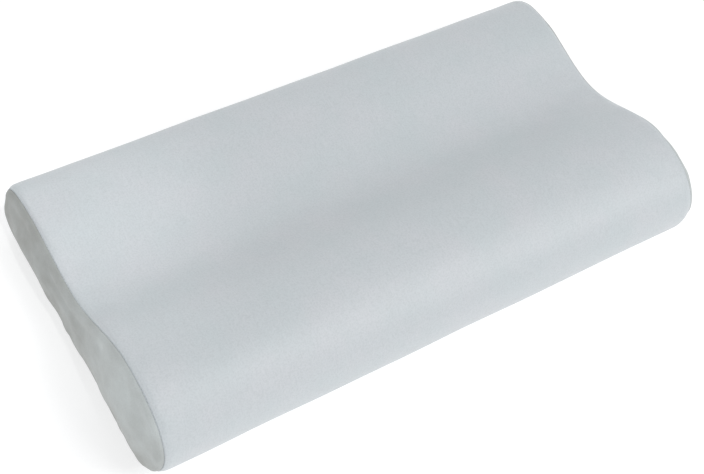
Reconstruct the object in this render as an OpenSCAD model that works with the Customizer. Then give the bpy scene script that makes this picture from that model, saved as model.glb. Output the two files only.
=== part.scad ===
// Contoured foam pillow: a moulded foam block in a sewn liner, inside a zipped cover.
// X runs along the pillow, the tall front lobe is at -Y, and the pillow rests on z = 0.

/* [Foam contour] */
// Overall length, over the crowns of the two end panels
pillow_l = 600; // [480:10:700]
// Overall depth, front to back, without the zip's slider
pillow_d = 300; // [270:5:360]
// Height of the tall front lobe
front_h = 100; // [90:1:130]
// Height at the bottom of the neck-to-head dip
dip_h = 62; // [55:1:80]
// Height of the low back lobe
back_h = 70; // [64:1:85]
// How far the front crest lies in front of the centre line
front_crest = 76; // [65:1:90]
// How far the dip lies behind the centre line
dip_back = 28; // [10:1:45]
// How far the back crest lies behind the centre line
back_crest = 101; // [85:1:112]
// Height of the front lobe's widest line
front_waist = 47; // [38:1:52]
// Height of the back face's middle, where the zip runs
zip_z = 38; // [36:1:42]
// Radius under the front lobe
front_under = 40; // [25:1:50]
// Radius under the back face
back_under = 30; // [22:1:36]
// Fullness of the two lobes: 2 is an ellipse, more is squarer
fullness = 2.25; // [2:0.05:2.6]

/* [Ends] */
// Radius of the long edges at the two ends
end_r = 12; // [8:1:16]
// How far an end panel crowns beyond its edge
end_crown = 3; // [1:0.5:6]
// Where the end seam lies on the edge: 0 is on the wrap side, 90 on the end face
seam_angle = 35; // [20:1:55]
// Width of the seam's ditch
seam_w = 1.0; // [0.9:0.1:1.4]
// Thickness of the sewing thread
thread_d = 0.8; // [0.5:0.1:0.8]

/* [Fabric] */
// Thickness of the knitted cover
cover_t = 1.2; // [0.8:0.1:1.6]
// Room between the cover and the liner
ease = 0.6; // [0.6:0.1:1.2]
// Thickness of the liner
liner_t = 0.6; // [0.4:0.1:0.8]
// Room between the liner and the foam
liner_ease = 0.3; // [0.2:0.1:0.6]

/* [Zip] */
// Half the length of the coils, from the middle to a stop
zip_half = 270; // [200:1:275]
// Half the width of the slit between the cover's folded edges
slit_half = 4.4; // [4.2:0.1:5]
// Distance from the zip's centre line to a tape's outer edge
tape_reach = 13; // [11:0.5:15]
// Distance from the zip's centre line to a tape's inner edge
tape_inner = 1.1; // [1:0.1:1.4]
// Thickness of a tape
tape_t = 0.5; // [0.3:0.1:0.6]
// Distance from the zip's centre line to a coil's near side
coil_inner = 0.5; // [0.5:0.1:0.7]
// Width of a coil
coil_w = 1.8; // [1.4:0.1:2]
// Height of a coil
coil_h = 1.6; // [1.2:0.1:1.8]
// How far the slider presses the foam in
zip_press = 2.2; // [2.2:0.1:4]
// Distance from the zip's centre line to a stitch line
stitch_z = 7; // [6:0.25:7.5]
// Length of the slider
slider_l = 11; // [9:0.5:14]
// Length of the pull, from its hinge
pull_l = 26; // [18:1:32]

/* [Label] */
// Middle of the blank care label, along the pillow
label_x = 215; // [-240:5:240]
// Width of the label
label_w = 28; // [15:1:40]
// Height of the label
label_h = 22; // [12:1:24]
// Thickness of the label
label_t = 0.3; // [0.2:0.1:0.5]

/* [Hidden] */
$fn = 48;

back_y = pillow_d / 2;             // plane of the flat strip that carries the zip
flat_half = 8;                     // half the height of that strip
flat_top = zip_z + flat_half;
flat_bottom = zip_z - flat_half;
straight_half = pillow_l / 2 - end_crown - end_r;   // half the length of the straight part
face_centre = [-10, 36];           // middle of an end face, in y and z
press_half = 20;                   // half the height of the hollow that the zip presses
gap = 0.1;                         // room between the cover and what is sewn to it
run = 0.35;                        // running clearance of the slider

liner_depth = cover_t + ease;
foam_depth = liner_depth + liner_t + liner_ease;
tape_depth = cover_t + gap;
tape_face = back_y - tape_depth;                    // outer face of the tapes
coil_top = tape_face + coil_h;
seam_step = seam_w / end_r * 180 / PI;              // the ditch's width, as an angle
wrap_end = seam_angle - seam_step / 2;
panel_start = seam_angle + seam_step / 2;

plate_t = 0.9;                                      // slider plates
slider_half = 3.8;                                  // half the slider's width
slider_x = zip_half - slider_l / 2 - 0.5;           // the slider at rest, zip closed
top_plate_y = coil_top + run;
bottom_plate_y = tape_face - tape_t - run - plate_t;
web_t = 0.4;                                        // web that joins the two plates
web_l = 4;
hinge_y = top_plate_y + plate_t + 1.5;              // axis of the pull's hinge
hinge_hole_r = 0.95;
hinge_bar_r = 0.62;
bail_r = 1.8;
bail_half = 0.9;
pull_t = 1.2;
pull_half = 3;
arm_inner = bail_half + 0.4;
arm_outer = 2.5;
stop_l = 3;

// ---- the contour, as points [y, z] running anticlockwise seen from +X ----

// Part of a superellipse about [cy, cz] with half-axes a and b, at the given angles
function bulge(cy, cz, a, b, n, angles) = [for (t = angles)
    [cy + sign(cos(t)) * a * pow(abs(cos(t)), 2 / n),
     cz + sign(sin(t)) * b * pow(abs(sin(t)), 2 / n)]];

// Half a cosine wave from one crest or dip to the next, without its first point
function wave(y0, z0, y1, z1, steps) = [for (i = [1 : steps])
    [y0 + (y1 - y0) * i / steps, z0 + (z1 - z0) * (1 - cos(180 * i / steps)) / 2]];

// Angle on a superellipse of half-height b at which it has risen by h
function rise_angle(h, b, n) = asin(pow(h / b, n / 2));

tape_rise = tape_reach - flat_half;
upper_tape_angle = rise_angle(tape_rise, back_h - flat_top, fullness);
lower_tape_angle = rise_angle(tape_rise, flat_bottom, 2);

back_upper = bulge(back_crest, flat_top, back_y - back_crest, back_h - flat_top,
    fullness, concat([0, upper_tape_angle],
    [for (i = [1 : 6]) upper_tape_angle + (90 - upper_tape_angle) * i / 6]));
front_upper = bulge(-front_crest, front_waist, back_y - front_crest, front_h - front_waist,
    fullness, [for (i = [1 : 8]) 90 + 90 * i / 8]);
front_lower = bulge(front_under - back_y, front_waist, front_under, front_waist,
    2, [for (i = [1 : 6]) 180 + 90 * i / 6]);
base_front = front_under - back_y;
base_back = back_y - back_under;
base_line = [for (i = [1 : 3]) [base_front + (base_back - base_front) * i / 4, 0]];
back_lower = bulge(base_back, flat_bottom, back_under, flat_bottom, 2,
    concat([for (i = [0 : 5]) -90 + (90 - lower_tape_angle) * i / 5], [-lower_tape_angle / 2, 0]));

// The contour from the slit's upper edge, over the top and round, to its lower edge
open_contour = concat([[back_y, zip_z + slit_half]], back_upper,
    wave(back_crest, back_h, dip_back, dip_h, 6),
    wave(dip_back, dip_h, -front_crest, front_h, 8),
    front_upper, front_lower, base_line, back_lower,
    [[back_y, zip_z - slit_half]]);

// How far the zip presses the foam in at height z
function press(p) = p[0] > back_y - press_half && abs(p[1] - zip_z) < press_half
    ? zip_press * pow(cos(90 * (p[1] - zip_z) / press_half), 2) : 0;

// The closed contour of the foam and the liner, with the hollow under the zip
foam_contour = [for (p = concat(open_contour, [[back_y, zip_z - slit_half / 2],
    [back_y, zip_z], [back_y, zip_z + slit_half / 2]])) [p[0] - press(p), p[1]]];

closed_contour = concat(open_contour, [[back_y, zip_z]]);

// The strips of the contour that the two tapes follow
upper_tape_line = [[back_y, zip_z + tape_inner], back_upper[0], back_upper[1]];
lower_tape_line = [bulge(base_back, flat_bottom, back_under, flat_bottom, 2, [-lower_tape_angle])[0],
    bulge(base_back, flat_bottom, back_under, flat_bottom, 2, [-lower_tape_angle / 2])[0],
    [back_y, flat_bottom], [back_y, zip_z - tape_inner]];

// ---- offsets and rings ----

function tangent(path, i, closed) = let (n = len(path),
    a = closed ? path[(i + n - 1) % n] : path[max(i - 1, 0)],
    b = closed ? path[(i + 1) % n] : path[min(i + 1, n - 1)]) (b - a) / norm(b - a);

// A contour moved inwards by depth
function inset(path, depth, closed) = [for (i = [0 : len(path) - 1])
    let (t = tangent(path, i, closed)) path[i] - depth * [t[1], -t[0]]];

// One ring at an angle round the end's edge, depth below the outside; side is -1 or 1
function edge_ring(path, side, angle, depth, closed) = [for (p = inset(path,
    end_r - (end_r - depth) * cos(angle), closed))
    [side * (straight_half + (end_r - depth) * sin(angle)), p[0], p[1]]];

// One ring on an end face, shrunk towards its centre
function face_ring(path, side, shrink, depth) = [for (p = inset(path, end_r, true))
    let (q = face_centre + shrink * (p - face_centre)) [side * face_x(shrink, depth), q[0], q[1]]];
function face_x(shrink, depth) =
    straight_half + end_r - depth + end_crown * (1 - shrink * shrink);
function face_tip(side, depth) = [side * face_x(0, depth), face_centre[0], face_centre[1]];

// The rings of a sleeve from its left edge to its right edge
function sleeve(path, last_angle, depth, closed) = concat(
    [for (i = [2 : -1 : 0]) edge_ring(path, -1, last_angle * i / 2, depth, closed)],
    [for (i = [0 : 2]) edge_ring(path, 1, last_angle * i / 2, depth, closed)]);

// The rings of the right end, from angle first to the middle of the face
face_shrink = 0.6;
function right_end(path, first, depth) = concat(
    [for (i = [0 : 2]) edge_ring(path, 1, first + (90 - first) * i / 2, depth, true)],
    [face_ring(path, 1, face_shrink, depth)]);

function reversed(list) = [for (i = [len(list) - 1 : -1 : 0]) list[i]];
function joined(lists) = [for (l = lists) for (p = l) p];
function halves(q) = [[q[0], q[1], q[2]], [q[0], q[2], q[3]]];

// ---- solids built from rings ----

// A solid from rings that are each closed, ending in a point at both ends
module capped_skin(rings, first_tip, last_tip) {
    n = len(rings[0]);
    m = len(rings);
    quads = [for (i = [0 : m - 2], j = [0 : n - 1]) let (k = (j + 1) % n)
        [i * n + j, (i + 1) * n + j, (i + 1) * n + k, i * n + k]];
    caps = [for (j = [0 : n - 1]) let (k = (j + 1) % n) each
        [[m * n, j, k], [m * n + 1, (m - 1) * n + k, (m - 1) * n + j]]];
    polyhedron(concat(joined(rings), [first_tip, last_tip]),
        concat(joined([for (q = quads) halves(q)]), caps));
}

// A solid from rings that are each closed, whose last ring meets its first
module closed_skin(rings) {
    n = len(rings[0]);
    m = len(rings);
    quads = [for (i = [0 : m - 1], j = [0 : n - 1]) let (k = (j + 1) % n, l = (i + 1) % m)
        [i * n + j, l * n + j, l * n + k, i * n + k]];
    polyhedron(joined(rings), joined([for (q = quads) halves(q)]));
}

// A sheet between two surfaces of open lines, the outer and the inner one
module sheet_skin(outer, inner) {
    n = len(outer[0]);
    m = len(outer);
    in = m * n;
    faces = [for (i = [0 : m - 2], j = [0 : n - 2]) let (a = i * n + j, b = a + n) each
        [[a, b, b + 1, a + 1], [in + a, in + a + 1, in + b + 1, in + b]]];
    long_edges = [for (i = [0 : m - 2]) let (a = i * n, b = a + n, c = a + n - 1, d = b + n - 1)
        each [[b, a, in + a, in + b], [c, d, in + d, in + c]]];
    short_edges = [for (j = [0 : n - 2]) let (e = (m - 1) * n + j) each
        [[j, j + 1, in + j + 1, in + j], [e + 1, e, in + e, in + e + 1]]];
    polyhedron(concat(joined(outer), joined(inner)),
        joined([for (q = concat(faces, long_edges, short_edges)) halves(q)]));
}

// ---- the foam ----

module foam_core() {
    right = right_end(foam_contour, 0, foam_depth);
    left = reversed([for (ring = right) [for (p = ring) [-p[0], p[1], p[2]]]]);
    color([0.93, 0.91, 0.84]) capped_skin(concat(left, right),
        face_tip(-1, foam_depth), face_tip(1, foam_depth));
}

// ---- the fabric pieces ----

// A thin panel over the right end, between two depths
module end_panel(path, depth, thickness, first) {
    outer = right_end(path, first, depth);
    inner = right_end(path, first, depth + thickness);
    capped_skin(concat(reversed(inner), outer),
        face_tip(1, depth + thickness), face_tip(1, depth));
}

module liner_wrap() {
    color([0.96, 0.96, 0.95]) closed_skin(concat(
        sleeve(foam_contour, wrap_end, liner_depth, true),
        reversed(sleeve(foam_contour, wrap_end, liner_depth + liner_t, true))));
}

module liner_right_end() {
    color([0.93, 0.93, 0.92]) end_panel(foam_contour, liner_depth, liner_t, panel_start);
}

module liner_left_end() { mirror([1, 0, 0]) liner_right_end(); }

module cover_wrap() {
    color([0.79, 0.82, 0.83]) sheet_skin(sleeve(open_contour, wrap_end, 0, false),
        sleeve(open_contour, wrap_end, cover_t, false));
}

module cover_right_end() {
    color([0.65, 0.67, 0.66]) end_panel(closed_contour, 0, cover_t, panel_start);
}

module cover_left_end() { mirror([1, 0, 0]) cover_right_end(); }

// The thread that closes an end seam, lying in the seam's ditch
module right_seam_thread() {
    r = thread_d / 2;
    x = straight_half + (end_r - cover_t / 2) * sin(seam_angle);
    depth = end_r - (end_r - cover_t / 2) * cos(seam_angle);
    color([0.72, 0.74, 0.75]) closed_skin([for (t = [0 : 60 : 300])
        [for (p = inset(closed_contour, depth - r * sin(t), true)) [x - r * cos(t), p[0], p[1]]]]);
}

module left_seam_thread() { mirror([1, 0, 0]) right_seam_thread(); }

// ---- the zip ----

module zip_tape(line) {
    color([0.74, 0.77, 0.79]) sheet_skin(sleeve(line, wrap_end, tape_depth, false),
        sleeve(line, wrap_end, tape_depth + tape_t, false));
}

module zip_tape_upper() { zip_tape(upper_tape_line); }

module zip_tape_lower() { zip_tape(lower_tape_line); }

// A coil, drawn as the bar that its turns fill
module zip_coil_upper() {
    color([0.70, 0.73, 0.75]) translate([-zip_half, tape_face, zip_z + coil_inner])
        cube([2 * zip_half, coil_h, coil_w]);
}

module zip_coil_lower() { translate([0, 0, 2 * zip_z]) mirror([0, 0, 1]) zip_coil_upper(); }

module zip_top_stop_upper() {
    color([0.68, 0.70, 0.72]) translate([zip_half, tape_face, zip_z + coil_inner])
        cube([stop_l, coil_h + 0.2, coil_w + 0.5]);
}

module zip_top_stop_lower() { translate([0, 0, 2 * zip_z]) mirror([0, 0, 1]) zip_top_stop_upper(); }

module zip_bottom_stop() {
    half = coil_inner + coil_w + 0.5;
    color([0.68, 0.70, 0.72]) translate([-zip_half - stop_l, tape_face, zip_z - half])
        cube([stop_l, coil_h + 0.2, 2 * half]);
}

// A line of lockstitch that holds a folded edge of the cover to its tape
module zip_stitch(z) {
    w = 0.5;
    color([0.83, 0.85, 0.86]) translate([-straight_half, back_y, z - w / 2])
        cube([2 * straight_half, w, w]);
}

module zip_stitch_upper() { zip_stitch(zip_z + stitch_z); }

module zip_stitch_lower() { zip_stitch(zip_z - stitch_z); }

// A slider plate, rounded at its corners, with its inner face at y
module slider_plate(y) {
    r = 1.5;
    translate([slider_x, y + plate_t, zip_z]) rotate([90, 0, 0]) linear_extrude(plate_t) union() {
        square([slider_l, 2 * (slider_half - r)], center = true);
        square([slider_l - 2 * r, 2 * slider_half], center = true);
        for (sx = [-1, 1], sz = [-1, 1])
            translate([sx * (slider_l / 2 - r), sz * (slider_half - r)]) circle(r);
    }
}

// The slider's bail, with the hole that the pull hinges in
module bail() {
    foot_y = top_plate_y + plate_t / 2;
    translate([slider_x, 0, zip_z - bail_half]) difference() {
        linear_extrude(2 * bail_half) union() {
            translate([0, hinge_y]) circle(bail_r);
            translate([-bail_r, foot_y]) square([2 * bail_r, hinge_y - foot_y]);
        }
        translate([0, hinge_y, -1]) cylinder(r = hinge_hole_r, h = 2 * bail_half + 2);
    }
}

module slider_body() {
    flange_y = tape_face + run;
    flange_inner = coil_inner + coil_w + 0.6;
    flange_l = slider_l - 3;
    color([0.72, 0.73, 0.74]) union() {
        slider_plate(top_plate_y);
        slider_plate(bottom_plate_y);
        for (z = [zip_z + flange_inner, zip_z - slider_half])
            translate([slider_x - flange_l / 2, flange_y, z])
                cube([flange_l, top_plate_y - flange_y + plate_t / 2, slider_half - flange_inner]);
        translate([slider_x + slider_l / 2 - web_l - 0.5, bottom_plate_y, zip_z - web_t / 2])
            cube([web_l, top_plate_y + plate_t - bottom_plate_y, web_t]);
        bail();
    }
}

// The pull, with its hinge at the origin: a bar through the bail, two arms and a tab with a hole
module pull_outline() {
    root = 2.9;
    hole_r = 1.4;
    tip = -pull_l + pull_half;
    arm_w = arm_outer - arm_inner;
    for (z = [-arm_inner - arm_w / 2, arm_inner + arm_w / 2]) translate([0, z]) union() {
        translate([-root - 1, -arm_w / 2]) square([root + 1, arm_w]);
        circle(arm_w / 2);
    }
    difference() {
        union() {
            translate([tip, -pull_half]) square([-root - tip, 2 * pull_half]);
            translate([tip, 0]) circle(pull_half);
        }
        translate([tip, 0]) circle(hole_r);
    }
}

module slider_pull() {
    color([0.74, 0.75, 0.76]) translate([slider_x, hinge_y, zip_z]) union() {
        translate([0, 0, -arm_outer]) cylinder(r = hinge_bar_r, h = 2 * arm_outer);
        translate([0, pull_t / 2, 0]) rotate([90, 0, 0]) linear_extrude(pull_t) pull_outline();
    }
}

// ---- the label ----

// Where the back face lies at height z, from its underside radius up to the zip
function back_face_y(z) = z >= flat_bottom ? back_y
    : base_back + back_under * sqrt(1 - pow((flat_bottom - z) / flat_bottom, 2));

// A blank tab that hangs from the lower stitch line, against the back face
module care_label() {
    top = zip_z - stitch_z - 0.35;
    heights = [for (i = [5 : -1 : 0]) top - label_h * i / 5];
    line = [for (z = heights) [back_face_y(z), z]];
    ends = [label_x - label_w / 2, label_x + label_w / 2];
    outer = inset(line, -gap - label_t, false);
    inner = inset(line, -gap, false);
    color([0.97, 0.97, 0.96]) sheet_skin(
        [for (x = ends) [for (p = outer) [x, p[0], p[1]]]],
        [for (x = ends) [for (p = inner) [x, p[0], p[1]]]]);
}

foam_core();
liner_wrap();
liner_left_end();
liner_right_end();
cover_wrap();
cover_left_end();
cover_right_end();
left_seam_thread();
right_seam_thread();
zip_tape_upper();
zip_tape_lower();
zip_coil_upper();
zip_coil_lower();
zip_top_stop_upper();
zip_top_stop_lower();
zip_bottom_stop();
zip_stitch_upper();
zip_stitch_lower();
slider_body();
slider_pull();
care_label();
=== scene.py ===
"""A contoured foam pillow in a zipped knit cover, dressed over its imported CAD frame.

Lengths are in metres. X runs along the pillow, the tall front lobe is at -Y, the zip is at +Y,
and the pillow rests on z = 0. A contour is a list of (y, z) points that runs anticlockwise seen
from +X: up the back face, over the top, down the front and back along the base.
"""

import math

import bmesh
import bpy
import numpy as np
from mathutils import Matrix, Vector


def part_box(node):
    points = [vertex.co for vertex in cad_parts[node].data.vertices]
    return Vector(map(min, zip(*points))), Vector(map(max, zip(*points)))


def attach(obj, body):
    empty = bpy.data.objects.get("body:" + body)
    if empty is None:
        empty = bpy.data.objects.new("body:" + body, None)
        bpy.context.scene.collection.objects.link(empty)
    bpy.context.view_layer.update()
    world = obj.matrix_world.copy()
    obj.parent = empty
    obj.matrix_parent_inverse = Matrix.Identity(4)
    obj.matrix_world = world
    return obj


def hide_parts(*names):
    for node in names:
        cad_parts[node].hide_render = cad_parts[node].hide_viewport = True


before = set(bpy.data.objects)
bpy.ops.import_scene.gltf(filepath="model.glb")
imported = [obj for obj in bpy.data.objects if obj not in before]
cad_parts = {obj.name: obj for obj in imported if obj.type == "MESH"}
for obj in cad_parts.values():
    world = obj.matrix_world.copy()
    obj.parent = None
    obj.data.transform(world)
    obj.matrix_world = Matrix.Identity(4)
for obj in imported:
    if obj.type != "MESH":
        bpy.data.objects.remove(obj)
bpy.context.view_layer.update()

MM = 0.001

# ---- sizes read from the frame ----
wrap_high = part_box("cover_wrap")[1]
HALF_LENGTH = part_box("cover_right_end")[1].x
HALF_DEPTH = wrap_high.y
FRONT_HEIGHT = wrap_high.z
coil_low, coil_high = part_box("zip_coil_upper")
ZIP_Z = (coil_low.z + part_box("zip_coil_lower")[1].z) / 2
TAPE_FACE_Y = coil_low.y
COIL_HALF_LENGTH = coil_high.x
COIL_NEAR = coil_low.z - ZIP_Z
COIL_WIDTH = coil_high.z - coil_low.z
COIL_HEIGHT = coil_high.y - coil_low.y

# ---- the contour, as the part's source has it ----
DIP_HEIGHT = 62 * MM
BACK_HEIGHT = 70 * MM
FRONT_CREST_Y = -76 * MM
DIP_Y = 28 * MM
BACK_CREST_Y = 101 * MM
FRONT_WAIST_Z = 47 * MM
FRONT_UNDER = 40 * MM
BACK_UNDER = 30 * MM
FULLNESS = 2.25                 # power of the lobes' superellipses; 2 is an ellipse
FLAT_HALF = 8 * MM              # half the height of the flat that the zip lies on
END_RADIUS = 12 * MM
END_CROWN = 3 * MM
SEAM_ANGLE = math.radians(35)
STRAIGHT_HALF = HALF_LENGTH - END_CROWN - END_RADIUS

# ---- the fabric ----
CLOTH = 0.5 * MM                # thickness of one layer of the cover
LINER = 0.4 * MM                # thickness of the liner
TAPE = 0.45 * MM                # thickness of a zip tape
LIP = 1.1 * MM                  # radius of a turned edge at an end seam
SLIT_HALF = 4.4 * MM            # half the width of the slit at the zip
SLIT_LIP = 0.6 * MM             # radius of a turned edge at the zip
SLIT_TUCK = 1.1 * MM            # how far that edge runs inwards
BASE_HEIGHT = 2 * MM            # cloth below this height lies on the surface
LINER_DEPTH = 1.8 * MM          # how far below the cover's outside each inner layer lies
FOAM_DEPTH = 2.7 * MM
PRESS = 2.2 * MM                # how far the zip presses the foam in
PRESS_HALF = 20 * MM
SEAM_GAP = 0.1 * MM             # between the two turned edges of an end seam
TUCK = 0.8 * MM                 # how far a turned edge runs inwards
TAPE_INNER = 1.1 * MM           # from the zip's centre line to a tape's edges, along the contour
TAPE_REACH = 13 * MM
STITCH_Z = 7 * MM               # from the zip's centre line to the lockstitch
LOBE_CENTRE = (-102 * MM, 40 * MM)
LOBE_REACH = 50 * MM            # how far round that point the ends are packed full
PLUMP_REACH = 70 * MM           # how far from an end its corners start to swell
PLUMP_RIGHT = 15 * MM           # how far a full corner stands out at the right end
PLUMP_LEFT = 4 * MM              # the same at the left end
ROUND = 120                     # points round a contour


# ---- contours ----

def bulge(centre, half_axes, power, first, last, count):
    """Points on part of a superellipse, between two angles in degrees."""
    t = np.radians(np.linspace(first, last, count))
    y = np.sign(np.cos(t)) * np.abs(np.cos(t)) ** (2 / power)
    z = np.sign(np.sin(t)) * np.abs(np.sin(t)) ** (2 / power)
    return np.stack([centre[0] + half_axes[0] * y, centre[1] + half_axes[1] * z], 1)


def wave(start, end, count):
    """Half a cosine wave from one crest or dip to the next."""
    t = np.linspace(0, 1, count)
    z = start[1] + (end[1] - start[1]) * (1 - np.cos(math.pi * t)) / 2
    return np.stack([start[0] + (end[0] - start[0]) * t, z], 1)


def full_contour():
    """The outside of the cover, closely spaced, from the zip's line round to it again."""
    flat_top, flat_bottom = ZIP_Z + FLAT_HALF, ZIP_Z - FLAT_HALF
    crest = (BACK_CREST_Y, BACK_HEIGHT)
    dip = (DIP_Y, DIP_HEIGHT)
    front = (FRONT_CREST_Y, FRONT_HEIGHT)
    parts = [
        np.array([[HALF_DEPTH, ZIP_Z]]),
        bulge((BACK_CREST_Y, flat_top), (HALF_DEPTH - BACK_CREST_Y, BACK_HEIGHT - flat_top),
              FULLNESS, 0, 90, 200),
        wave(crest, dip, 100),
        wave(dip, front, 160),
        bulge((FRONT_CREST_Y, FRONT_WAIST_Z),
              (HALF_DEPTH + FRONT_CREST_Y, FRONT_HEIGHT - FRONT_WAIST_Z), FULLNESS, 90, 180, 240),
        bulge((FRONT_UNDER - HALF_DEPTH, FRONT_WAIST_Z), (FRONT_UNDER, FRONT_WAIST_Z),
              2, 180, 270, 160),
        bulge((HALF_DEPTH - BACK_UNDER, flat_bottom), (BACK_UNDER, flat_bottom),
              2, 270, 360, 120),
        np.array([[HALF_DEPTH, ZIP_Z]]),
    ]
    return np.concatenate(parts)


def along(points):
    """The distance along a line of points, at each of them."""
    return np.concatenate([[0], np.cumsum(np.linalg.norm(np.diff(points, axis=0), axis=1))])


def at_distances(points, distances):
    """The points at the given distances along a line."""
    travelled = along(points)
    return np.stack([np.interp(distances, travelled, points[:, k])
                     for k in range(points.shape[1])], 1)


OUTLINE = full_contour()
GIRTH = along(OUTLINE)[-1]


def closed_contour(count=ROUND):
    """The whole contour, evenly spaced, its last point one step short of its first."""
    return at_distances(OUTLINE, np.linspace(0, GIRTH, count + 1)[:-1])


def pressed_contour(count=ROUND):
    """The closed contour of the foam and the liner, with the hollow under the zip."""
    line = closed_contour(count)
    near = (line[:, 0] > HALF_DEPTH - PRESS_HALF) & (abs(line[:, 1] - ZIP_Z) < PRESS_HALF)
    fall = np.cos(math.pi / 2 * (line[:, 1] - ZIP_Z) / PRESS_HALF) ** 2
    line[:, 0] -= np.where(near, PRESS * fall, 0)
    return line


def outward(line, closed):
    """The unit normals of a contour, pointing out of the pillow."""
    step = np.roll(line, -1, 0) - np.roll(line, 1, 0) if closed else np.gradient(line, axis=0)
    step = step / np.linalg.norm(step, axis=1)[:, None]
    return np.stack([step[:, 1], -step[:, 0]], 1)


def inset(line, depth, closed):
    return line - depth * outward(line, closed)


# ---- rings of points: a contour carried to a place along the pillow ----

def ring_at(line, x, depth, closed):
    moved = inset(line, depth, closed)
    return np.column_stack([np.full(len(moved), x), moved])


def edge_place(angle, depth):
    """Where an end's rounded edge has (x, inset) at an angle and a depth under the outside."""
    r = END_RADIUS - depth
    return STRAIGHT_HALF + r * math.sin(angle), END_RADIUS - r * math.cos(angle)


def lip_places(angle, radius, turn, tuck):
    """(x, inset) along a turned edge that starts at an angle; turn is 1 outboard, -1 inboard."""
    x, depth = edge_place(angle, 0)
    places = []
    for phi in np.radians([30, 60, 90]):
        back = radius * (math.cos(phi) - 1)
        side = turn * radius * math.sin(phi)
        places.append((x + back * math.sin(angle) + side * math.cos(angle),
                       depth - back * math.cos(angle) + side * math.sin(angle)))
    x, depth = places[-1]
    places.append((x - tuck * math.sin(angle), depth + tuck * math.cos(angle)))
    return places


FRONT_ANCHOR = np.array([-98, 50]) * MM
BACK_ANCHOR = np.array([112, 36]) * MM


def face_ring(line, shrink, depth):
    """A ring on the right end face, shrunk towards a line through the face's middle."""
    rim = inset(line, END_RADIUS, True)
    axis = BACK_ANCHOR - FRONT_ANCHOR
    t = np.clip((rim - FRONT_ANCHOR) @ axis / (axis @ axis), 0, 1)
    anchor = FRONT_ANCHOR + t[:, None] * axis
    place = anchor + shrink * (rim - anchor)
    x = STRAIGHT_HALF + END_RADIUS - depth + END_CROWN * (1 - shrink * shrink) ** 2
    return np.column_stack([np.full(len(place), x), place])


def end_rings(line, first_angle, depth):
    """The rings of the right end from an angle on its edge to the middle of its face."""
    edge = [ring_at(line, *edge_place(a, depth), True)
            for a in np.linspace(first_angle, math.pi / 2, 6)]
    face = [face_ring(line, s, depth) for s in np.linspace(1, 0.1, 11)[1:]]
    return edge + face


def sleeve_places(last_angle, depth):
    """(x, inset) of a sleeve's rings, closer together near the ends."""
    edge = [edge_place(a, depth) for a in np.linspace(last_angle, 0, 5)]
    steps = np.sin(np.linspace(-math.pi / 2, math.pi / 2, 67)) * 0.35
    steps = steps + np.linspace(-1, 1, 67) * 0.65
    straight = [(x, depth) for x in steps[1:-1] * STRAIGHT_HALF]
    return [(-x, d) for x, d in edge] + straight + [(x, d) for x, d in reversed(edge)]


# ---- meshes from rings ----

def add_object(name, data):
    made = bpy.data.objects.new(name, data)
    bpy.context.scene.collection.objects.link(made)
    return made


def shade_smooth(mesh):
    for face in mesh.polygons:
        face.use_smooth = True


def mesh_from_rings(name, rings, closed_round, closed_end=False, closed_start=False):
    """A mesh of quads between rings, with a UV map in metres along the cloth."""
    count, turns = len(rings[0]), len(rings)
    points = np.concatenate(rings)
    last = count if closed_round else count - 1
    faces = []
    for i in range(turns - 1):
        for j in range(last):
            k = (j + 1) % count
            faces.append((i * count + j, i * count + k, (i + 1) * count + k, (i + 1) * count + j))
    front = int(np.argmin(rings[0][:, 1]))
    if closed_end:
        faces += slot_faces((turns - 1) * count, count, front, False)
    if closed_start:
        faces += slot_faces(0, count, front, True)
    mesh = bpy.data.meshes.new(name)
    mesh.from_pydata(points.tolist(), [], faces)
    grid = points.reshape(turns, count, 3)
    round_it = np.linalg.norm(np.diff(grid[turns // 2], axis=0, append=grid[turns // 2][:1]), axis=1)
    u = np.concatenate([[0], np.cumsum(round_it)])
    v = np.concatenate([[0], np.cumsum(np.linalg.norm(np.diff(grid, axis=0), axis=2).mean(1))])
    layer = mesh.uv_layers.new(name="cloth")
    for face in mesh.polygons:
        columns = [index % count for index in face.vertices]
        wraps = closed_round and max(columns) - min(columns) > count // 2
        for loop, column in zip(face.loop_indices, columns):
            row = mesh.loops[loop].vertex_index // count
            turn = count if wraps and column == 0 else column
            layer.data[loop].uv = (u[turn], v[row])
    shade_smooth(mesh)
    return add_object(name, mesh)


def slot_faces(first, count, front, turned):
    """The faces that close the narrow slot left inside a ring, from its front to its back."""
    faces = []
    half = count // 2
    for k in range(half):
        ring = [front + k, front + k + 1, front - k - 1, front - k]
        corners = [first + c % count for c in ring]
        corners = list(dict.fromkeys(corners))
        if len(corners) > 2:
            faces.append(tuple(reversed(corners) if turned else corners))
    return faces


def coordinates(obj):
    out = np.zeros(len(obj.data.vertices) * 3)
    obj.data.vertices.foreach_get("co", out)
    return out.reshape(-1, 3)


def set_coordinates(obj, points):
    obj.data.vertices.foreach_set("co", np.asarray(points, float).ravel())
    obj.data.update()


def vertex_normals(obj):
    out = np.zeros(len(obj.data.vertices) * 3)
    obj.data.vertices.foreach_get("normal", out)
    return out.reshape(-1, 3)


def swell(points, size, seed):
    """A smooth value from about -1 to 1 at each point, from waves of about the given size."""
    rng = np.random.default_rng(seed)
    total = np.zeros(len(points))
    for _ in range(9):
        direction = rng.normal(size=3)
        direction /= np.linalg.norm(direction)
        length = size * rng.uniform(0.7, 1.6)
        total += np.sin(points @ direction * 2 * math.pi / length + rng.uniform(0, 2 * math.pi))
    return total / 3.5


def plain_mesh(obj):
    """Replaces an object's mesh with its evaluated one, and drops its modifiers."""
    graph = bpy.context.evaluated_depsgraph_get()
    mesh = bpy.data.meshes.new_from_object(obj.evaluated_get(graph), depsgraph=graph)
    obj.modifiers.clear()
    old = obj.data
    mesh.name = old.name
    obj.data = mesh
    bpy.data.meshes.remove(old)
    return obj


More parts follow.
